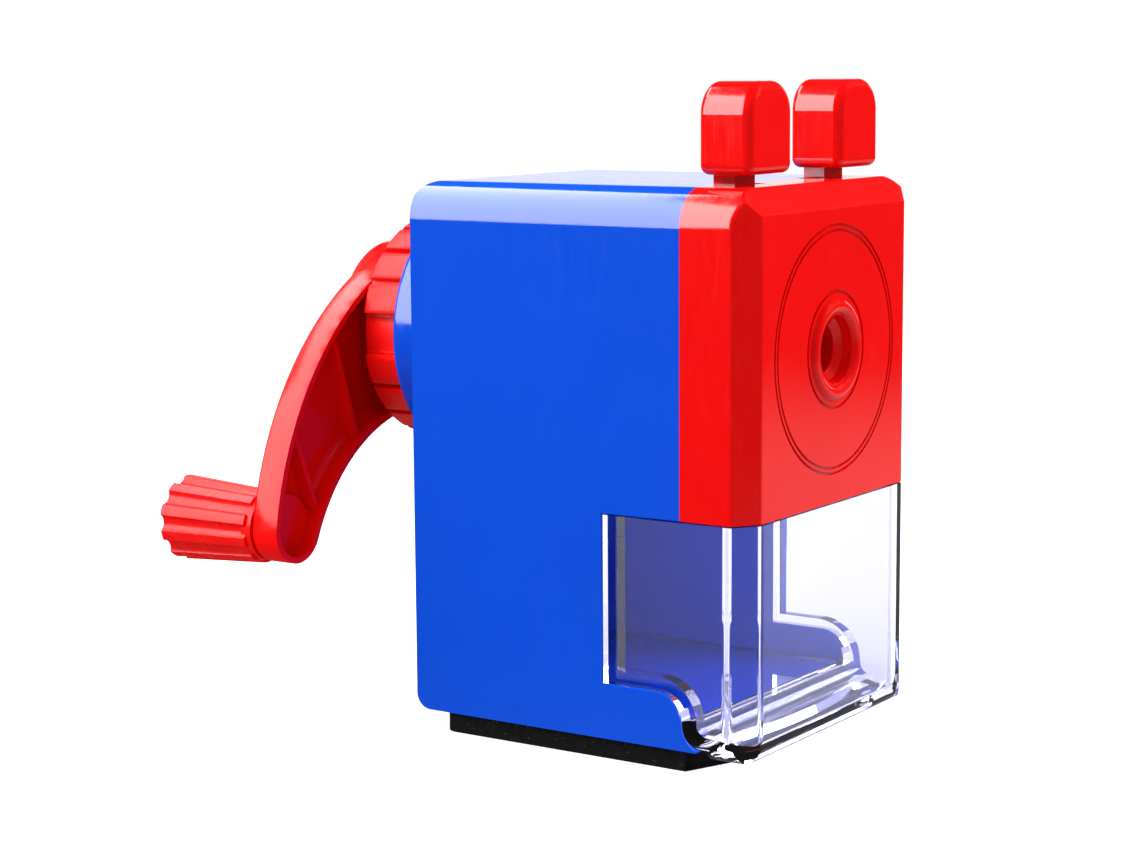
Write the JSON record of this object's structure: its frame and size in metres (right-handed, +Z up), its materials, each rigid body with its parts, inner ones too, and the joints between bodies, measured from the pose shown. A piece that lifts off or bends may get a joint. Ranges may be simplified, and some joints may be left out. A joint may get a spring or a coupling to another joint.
{
  "type": "pencil sharpener",
  "caption": "Desktop crank pencil sharpener with a sprung pull-out clamp front, pinch levers, a clear chip drawer and a ribbed ring that locks the crank.",
  "frame": {"origin": "on the table under the middle of the housing, at the underside of the base pad", "axes": "+Z up, -Y towards the pencil side, +Y towards the crank, X across the width"},
  "size_m": [0.0813, 0.1217, 0.1223],
  "materials": {
    "blue_plastic": "gloss",
    "red_plastic": "gloss",
    "black_plastic": "satin",
    "white_nylon": "satin",
    "black_rubber": "matte",
    "clear_plastic": "clear gloss",
    "bronze": "satin",
    "bright_steel": "polished",
    "spring_steel": "bright",
    "zinc_screws": "zinc plated",
    "cast_zinc": "cast",
    "tool_steel": "ground"
  },
  "bodies": {
    "housing": {"main_housing": "blue_plastic", "base_plate": "blue_plastic", "base_pad": "black_rubber", "guide_plate": "blue_plastic", "guide_plate_screws": "zinc_screws", "rod_bushes": "bronze", "bearing_plate": "blue_plastic", "bearing_plate_screws": "zinc_screws", "front_bush": "bronze", "ring_gear": "white_nylon"},
    "clamp_front": {"front_cover": "red_plastic", "clamp_plate": "black_plastic", "cover_screws": "zinc_screws", "left_guide_rod": "bright_steel", "right_guide_rod": "bright_steel", "rod_clips": "spring_steel", "left_return_spring": "spring_steel", "right_return_spring": "spring_steel", "left_pivot_pin": "bright_steel", "right_pivot_pin": "bright_steel", "clamp_spring": "spring_steel"},
    "left_lever": {"left_lever": "red_plastic", "left_jaw": "bright_steel", "left_jaw_rivets": "zinc_screws"},
    "right_lever": {"right_lever": "red_plastic", "right_jaw": "bright_steel", "right_jaw_rivets": "zinc_screws"},
    "drawer": {"drawer": "clear_plastic"},
    "retaining_ring": {"retaining_ring": "red_plastic", "shaft_bush": "bronze"},
    "crank": {"cutter_carrier": "cast_zinc", "cutter_axle": "bright_steel", "crank_arm": "red_plastic", "crank_washer": "bright_steel", "crank_screw": "zinc_screws", "grip_axle": "bright_steel"},
    "cutter": {"helical_cutter": "tool_steel", "cutter_pinion": "tool_steel"},
    "grip": {"grip": "red_plastic", "grip_cap": "red_plastic"}
  },
  "joints": [
    {"name": "clamp_front_slide", "type": "slide", "parent": "housing", "child": "clamp_front", "axis": [0, -1, 0], "range_m": [0, 0.036], "stiffness_N_per_m": 120, "springref_m": -0.01, "deforming": ["left_return_spring", "right_return_spring"]},
    {"name": "left_lever_pinch", "type": "hinge", "parent": "clamp_front", "child": "left_lever", "pos_m": [-0.0166, -0.0245, 0.092], "axis": [0, 1, 0], "range_deg": [0, 12], "stiffness_Nm_per_rad": 0.4, "springref_deg": -5.73, "deforming": ["clamp_spring"]},
    {"name": "right_lever_pinch", "type": "hinge", "parent": "clamp_front", "child": "right_lever", "pos_m": [0.0166, -0.0245, 0.092], "axis": [0, -1, 0], "range_deg": [0, 12], "stiffness_Nm_per_rad": 0.4, "springref_deg": -5.73},
    {"name": "drawer_slide", "type": "slide", "parent": "housing", "child": "drawer", "axis": [0, -1, 0], "range_m": [0, 0.062]},
    {"name": "ring_twist", "type": "hinge", "parent": "housing", "child": "retaining_ring", "pos_m": [0, 0.05, 0.0737], "axis": [0, 1, 0], "range_deg": [0, 60]},
    {"name": "crank_spin", "type": "hinge", "parent": "housing", "child": "crank", "pos_m": [0, 0.05, 0.0737], "axis": [0, 1, 0], "continuous": true},
    {"name": "cutter_spin", "type": "hinge", "parent": "crank", "child": "cutter", "pos_m": [0, 0.02868, 0.08133], "axis": [0, 0.9816, -0.1908], "continuous": true},
    {"name": "grip_spin", "type": "hinge", "parent": "crank", "child": "grip", "pos_m": [-0.0413, 0.075, 0.0379], "axis": [0, 1, 0], "continuous": true}
  ],
  "couplings": [
    {"joint": "cutter_spin", "follows": "crank_spin", "ratio": -2.1667}
  ]
}
